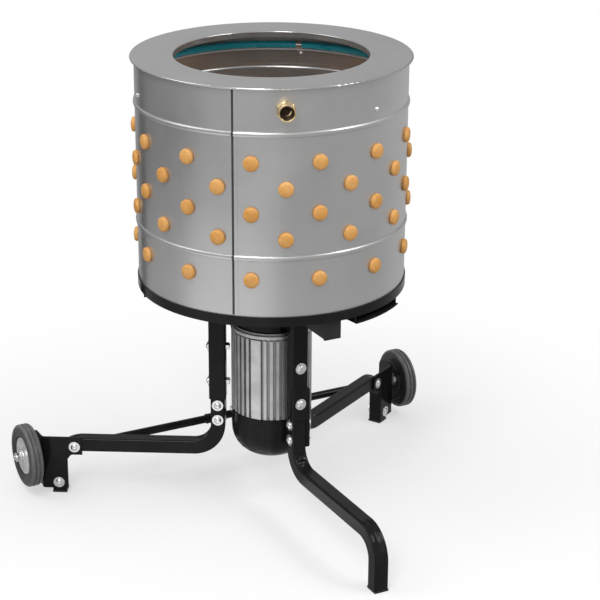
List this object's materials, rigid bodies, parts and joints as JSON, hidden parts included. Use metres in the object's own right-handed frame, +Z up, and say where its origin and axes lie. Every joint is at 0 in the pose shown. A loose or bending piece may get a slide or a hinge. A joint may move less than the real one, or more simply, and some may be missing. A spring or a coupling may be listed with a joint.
{
  "type": "drum poultry plucker",
  "caption": "Upright steel drum lined with ribbed rubber fingers over a gear motor, on a bent-tube stand with transport wheels, for plucking scalded birds.",
  "frame": {"origin": "centre of the whole machine's footprint, on the floor", "axes": "+Z up along the drum axis, +X along the wheel axle to the machine's right, -Y towards the single front leg"},
  "size_m": [0.9016, 0.7254, 0.8915],
  "materials": {
    "stainless": "satin sheet",
    "finger_rubber": "matt",
    "hose": "smooth",
    "brass": "bright",
    "black_paint": "satin",
    "zinc": "zinc plated",
    "cast_aluminium": "cast",
    "machined_steel": "machined",
    "winding": "varnished wire",
    "black_plastic": "moulded",
    "seal_rubber": "smooth",
    "tyre": "grooved tread"
  },
  "bodies": {
    "frame": {"barrel_shell": "stainless", "barrel_lid": "stainless", "barrel_fingers": "finger_rubber", "spray_hose": "hose", "inlet_fitting": "brass", "base_pan": "black_paint", "feather_chute": "black_paint", "gearbox_housing": "black_paint", "post_front": "black_paint", "post_left": "black_paint", "post_right": "black_paint", "leg_front": "black_paint", "leg_left": "black_paint", "leg_right": "black_paint", "cross_brace": "black_paint", "wheel_bracket_left": "black_paint", "wheel_bracket_right": "black_paint", "fan_cover": "black_paint", "terminal_box": "black_paint", "terminal_lid": "black_paint", "hose_clips": "zinc", "clip_screws": "zinc", "pan_bolts": "zinc", "chute_bolts": "zinc", "gearbox_bolts": "zinc", "cover_screws": "zinc", "post_bolts": "zinc", "leg_bolts": "zinc", "bracket_bolts": "zinc", "wheel_axles": "zinc", "motor_housing": "cast_aluminium", "motor_top_shield": "cast_aluminium", "motor_bottom_shield": "cast_aluminium", "ring_gear": "machined_steel", "output_bearings": "machined_steel", "motor_bearings": "machined_steel", "stator_core": "machined_steel", "stator_windings": "winding", "tube_plugs": "black_plastic", "hose_tee": "black_plastic", "cable_gland": "black_plastic", "shaft_seal": "seal_rubber"},
    "rotor": {"rotor_plate": "stainless", "plate_fingers": "finger_rubber", "rotor_hub": "machined_steel", "hub_bolts": "zinc", "rotor_nut": "zinc", "planet_carrier": "machined_steel"},
    "motor_rotor": {"sun_gear": "machined_steel", "rotor_core": "machined_steel", "motor_shaft": "machined_steel", "cooling_fan": "black_plastic"},
    "planet_1": {"planet_gear_1": "machined_steel"},
    "planet_2": {"planet_gear_2": "machined_steel"},
    "planet_3": {"planet_gear_3": "machined_steel"},
    "wheel_left": {"tyre_left": "tyre", "wheel_hub_left": "zinc"},
    "wheel_right": {"tyre_right": "tyre", "wheel_hub_right": "zinc"}
  },
  "joints": [
    {"name": "plate_spin", "type": "hinge", "parent": "frame", "child": "rotor", "pos_m": [0, 0.07125, 0.514], "axis": [0, 0, 1], "continuous": true},
    {"name": "motor_spin", "type": "hinge", "parent": "frame", "child": "motor_rotor", "pos_m": [0, 0.07125, 0.279], "axis": [0, 0, 1], "continuous": true},
    {"name": "planet_1_spin", "type": "hinge", "parent": "rotor", "child": "planet_1", "pos_m": [0.02813, 0.07125, 0.403], "axis": [0, 0, 1], "continuous": true},
    {"name": "planet_2_spin", "type": "hinge", "parent": "rotor", "child": "planet_2", "pos_m": [-0.01406, 0.09561, 0.403], "axis": [0, 0, 1], "continuous": true},
    {"name": "planet_3_spin", "type": "hinge", "parent": "rotor", "child": "planet_3", "pos_m": [-0.01406, 0.04689, 0.403], "axis": [0, 0, 1], "continuous": true},
    {"name": "wheel_left_spin", "type": "hinge", "parent": "frame", "child": "wheel_left", "pos_m": [-0.42353, 0.30025, 0.08], "axis": [1, 0, 0], "continuous": true},
    {"name": "wheel_right_spin", "type": "hinge", "parent": "frame", "child": "wheel_right", "pos_m": [0.42353, 0.30025, 0.08], "axis": [1, 0, 0], "continuous": true}
  ],
  "couplings": [
    {"joint": "motor_spin", "follows": "plate_spin", "ratio": 5},
    {"joint": "planet_1_spin", "follows": "plate_spin", "ratio": -2.6667},
    {"joint": "planet_2_spin", "follows": "plate_spin", "ratio": -2.6667},
    {"joint": "planet_3_spin", "follows": "plate_spin", "ratio": -2.6667}
  ]
}
